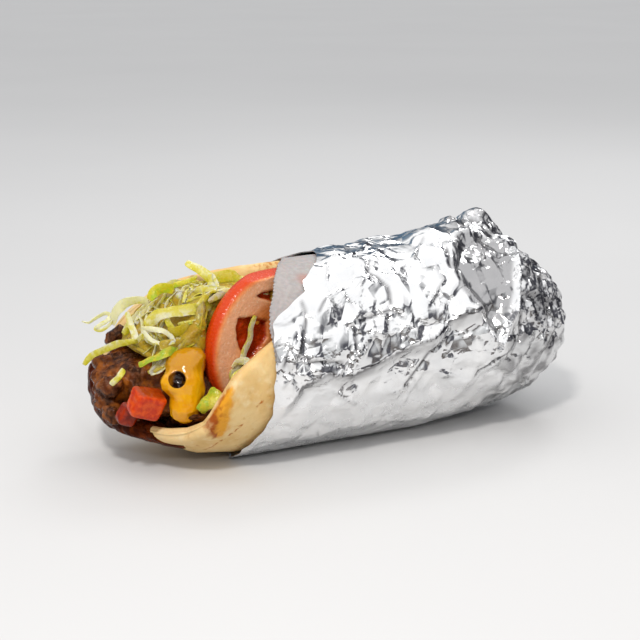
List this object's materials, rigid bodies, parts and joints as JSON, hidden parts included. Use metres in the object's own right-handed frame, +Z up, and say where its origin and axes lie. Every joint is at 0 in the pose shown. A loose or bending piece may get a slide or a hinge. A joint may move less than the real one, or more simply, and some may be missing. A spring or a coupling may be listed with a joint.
{
  "type": "wrapped pita sandwich",
  "caption": "Pita rolled round chopped meat, lettuce, melted cheese and tomato, lying in a paper liner and a crumpled foil wrap that is open at one end.",
  "frame": {"origin": "middle of the whole sandwich's footprint, on the surface that it lies on", "axes": "+X along the wrap from the open end to the bunched foil tail, +Z up, -Y the side with the fold in the foil"},
  "size_m": [0.209, 0.0914, 0.0851],
  "materials": {
    "foil_wrap": "bright crumpled household foil",
    "paper_liner": "thin pale mauve-grey sandwich paper, toothed edge",
    "pita": "soft baked flat bread, cream with tan toasted marks",
    "beef_filling": "dark brown chopped meat in oily red-brown sauce",
    "lettuce_heap": "pale yellow-green shredded lettuce",
    "tomato_slice": "wet orange-red tomato",
    "tomato_dice_1": "wet orange-red tomato",
    "tomato_dice_2": "tomato under a film of dark sauce",
    "cheese_melt": "glossy melted yellow cheese",
    "lettuce_shred": "wilted pale lettuce strip",
    "lettuce_bit": "short green lettuce piece",
    "lettuce_tip": "small pale lettuce tip"
  },
  "bodies": {
    "root": {"foil_wrap": "foil_wrap", "paper_liner": "paper_liner", "pita": "pita", "beef_filling": "beef_filling", "lettuce_heap": "lettuce_heap", "tomato_slice": "tomato_slice", "tomato_dice_1": "tomato_dice_1", "tomato_dice_2": "tomato_dice_2", "cheese_melt": "cheese_melt", "lettuce_shred": "lettuce_shred", "lettuce_bit": "lettuce_bit", "lettuce_tip": "lettuce_tip"}
  },
  "joints": []
}
